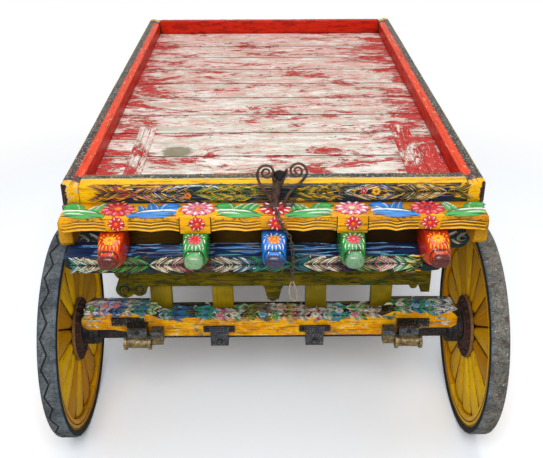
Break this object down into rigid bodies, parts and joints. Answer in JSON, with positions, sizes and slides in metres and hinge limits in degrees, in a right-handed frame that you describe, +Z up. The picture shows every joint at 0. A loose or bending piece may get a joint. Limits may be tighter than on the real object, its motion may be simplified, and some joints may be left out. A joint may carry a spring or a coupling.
{
  "type": "four-wheeled bullock cart",
  "caption": "Four-wheeled farm cart: shallow planked tray on peg-ended joists, carved painted cross beams, steering front axle frame, spoked wheels with rubber tyres.",
  "frame": {"origin": "on the floor under the middle of the cart", "axes": "+Z up, -Y towards the cart's steering front end, +X to the right seen from in front of the cart"},
  "size_m": [1.712, 2.682, 1.296],
  "materials": {
    "black_iron": "worn black iron",
    "blue_paint": "gloss painted wood",
    "carved_paint": "carved and painted wood",
    "floor_paint": "worn painted wood",
    "green_paint": "gloss painted wood",
    "rail_paint": "worn painted wood",
    "red_paint": "gloss painted wood",
    "rusty_iron": "rusty iron",
    "tyre": "worn rubber",
    "yellow_paint": "worn painted wood"
  },
  "bodies": {
    "body": {"floor_cleat_left": "floor_paint", "floor_patch_right": "floor_paint", "floor_planks": "floor_paint", "front_body_bolster": "yellow_paint", "front_bolster": "yellow_paint", "front_closing_boards": "yellow_paint", "front_cross_beam": "carved_paint", "front_rail": "yellow_paint", "joist_blue": "blue_paint", "joist_green_left": "green_paint", "joist_green_right": "green_paint", "joist_red_left": "red_paint", "joist_red_right": "red_paint", "kingpin": "rusty_iron", "rear_axle": "black_iron", "rear_axle_beam": "carved_paint", "rear_axle_bolster": "yellow_paint", "rear_axle_clips": "black_iron", "rear_axle_posts": "yellow_paint", "rear_body_bolster": "yellow_paint", "rear_bolster": "yellow_paint", "rear_closing_boards": "yellow_paint", "rear_cross_beam": "carved_paint", "rear_rail": "rail_paint", "rein_hook": "rusty_iron", "second_cross_beam": "carved_paint", "side_rail_left": "rail_paint", "side_rail_right": "rail_paint", "side_sill_left": "yellow_paint", "side_sill_right": "yellow_paint", "third_cross_beam": "carved_paint", "turntable_plate_upper": "black_iron"},
    "front_axle_frame": {"front_axle": "black_iron", "front_axle_beam": "carved_paint", "front_axle_posts": "yellow_paint", "steering_beam": "yellow_paint", "turntable_plate_lower": "black_iron", "front_axle_clips": "black_iron", "shaft_coupling_left": "black_iron", "shaft_coupling_right": "black_iron"},
    "front_left_wheel": {"front_wheel_left_hub": "rusty_iron", "front_wheel_left_spokes": "yellow_paint", "front_wheel_left_tyre": "tyre"},
    "front_right_wheel": {"front_wheel_right_hub": "rusty_iron", "front_wheel_right_spokes": "yellow_paint", "front_wheel_right_tyre": "tyre"},
    "rear_left_wheel": {"rear_wheel_left_hub": "rusty_iron", "rear_wheel_left_spokes": "yellow_paint", "rear_wheel_left_tyre": "tyre"},
    "rear_right_wheel": {"rear_wheel_right_hub": "rusty_iron", "rear_wheel_right_spokes": "yellow_paint", "rear_wheel_right_tyre": "tyre"}
  },
  "joints": [
    {"name": "steering", "type": "hinge", "parent": "body", "child": "front_axle_frame", "pos_m": [0, -0.787, 0.756], "axis": [0, 0, 1], "range_deg": [-60, 60]},
    {"name": "front_left_wheel_spin", "type": "hinge", "parent": "front_axle_frame", "child": "front_left_wheel", "pos_m": [-0.788, -0.787, 0.42], "axis": [1, 0, 0], "continuous": true},
    {"name": "front_right_wheel_spin", "type": "hinge", "parent": "front_axle_frame", "child": "front_right_wheel", "pos_m": [0.788, -0.787, 0.42], "axis": [1, 0, 0], "continuous": true},
    {"name": "rear_left_wheel_spin", "type": "hinge", "parent": "body", "child": "rear_left_wheel", "pos_m": [-0.788, 0.787, 0.42], "axis": [1, 0, 0], "continuous": true},
    {"name": "rear_right_wheel_spin", "type": "hinge", "parent": "body", "child": "rear_right_wheel", "pos_m": [0.788, 0.787, 0.42], "axis": [1, 0, 0], "continuous": true}
  ]
}
